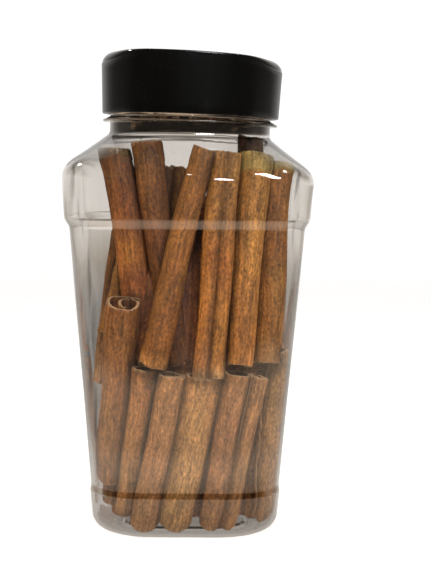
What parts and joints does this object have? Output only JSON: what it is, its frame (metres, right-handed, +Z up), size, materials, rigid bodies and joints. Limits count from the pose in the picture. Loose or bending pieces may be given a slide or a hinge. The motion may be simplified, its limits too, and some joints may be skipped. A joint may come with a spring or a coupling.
{
  "type": "jar of cinnamon sticks",
  "caption": "Clear square tapered plastic jar with a dark round cap, packed with rolled cinnamon sticks standing in two tiers.",
  "frame": {"origin": "centre of the jar's underside, on the surface that the jar stands on", "axes": "+Z up through the cap, -Y out of the jar's front, +X to the right of its front"},
  "size_m": [0.0887, 0.0888, 0.1743],
  "materials": {
    "clear_plastic": "clear, smooth PET",
    "black_plastic": "satin wall with a glossy rim",
    "cinnamon_bark": "dry, finely fibrous bark"
  },
  "bodies": {
    "root": {"jar": "clear_plastic", "cap": "black_plastic", "cinnamon_sticks": "cinnamon_bark"}
  },
  "joints": []
}
